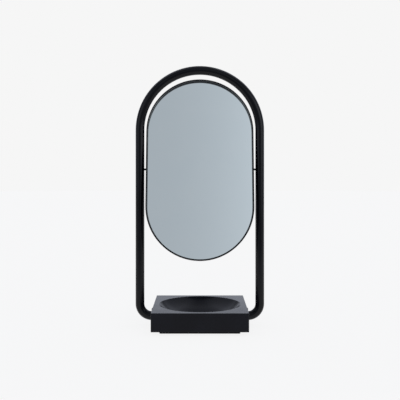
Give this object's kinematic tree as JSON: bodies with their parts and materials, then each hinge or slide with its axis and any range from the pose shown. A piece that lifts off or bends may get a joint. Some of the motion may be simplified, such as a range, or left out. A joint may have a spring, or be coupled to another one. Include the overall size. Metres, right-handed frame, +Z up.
{
  "type": "table mirror with dished tray",
  "caption": "Free-standing table mirror: a round-ended tilting mirror in a bent tube frame on a square tray block with a round dish.",
  "frame": {"origin": "centre of the foot pad's underside, on the surface that the mirror stands on", "axes": "+Z up, +X to the right of someone who faces the mirror, and that person stands at -Y"},
  "size_m": [0.2096, 0.15, 0.4217],
  "materials": {
    "tray_lacquer": "black satin lacquer on fibreboard",
    "plate_steel": "black painted steel",
    "foot_pad": "matt",
    "frame_paint": "black satin powder coat",
    "rim_paint": "black satin powder coat",
    "silvered_glass": "polished",
    "backing_board": "black-faced hardboard",
    "tape": "foam tape",
    "black_screws": "black oxide",
    "zinc_screws": "zinc plated",
    "pin_steel": "black oxide",
    "plug_steel": "turned",
    "bush_plastic": "black nylon",
    "washer_steel": "spring steel"
  },
  "bodies": {
    "stand": {"tray_block": "tray_lacquer", "base_plate": "plate_steel", "foot_pad": "foot_pad", "base_plate_screws": "zinc_screws", "frame_screws": "zinc_screws", "tube_frame": "frame_paint", "left_tube_plug": "plug_steel", "right_tube_plug": "plug_steel", "left_tube_collar": "tray_lacquer", "right_tube_collar": "tray_lacquer", "left_pivot_nut": "plug_steel", "right_pivot_nut": "plug_steel", "left_pivot_pin": "pin_steel", "right_pivot_pin": "pin_steel"},
    "mirror": {"mirror_rim": "rim_paint", "backing_board": "backing_board", "tape_strips": "tape", "mirror_glass": "silvered_glass", "rim_screws": "black_screws", "left_pivot_bush": "bush_plastic", "right_pivot_bush": "bush_plastic", "left_friction_washer": "washer_steel", "right_friction_washer": "washer_steel"}
  },
  "joints": [
    {"name": "mirror_tilt", "type": "hinge", "parent": "stand", "child": "mirror", "pos_m": [0, 0, 0.2531], "axis": [1, 0, 0], "continuous": true}
  ]
}
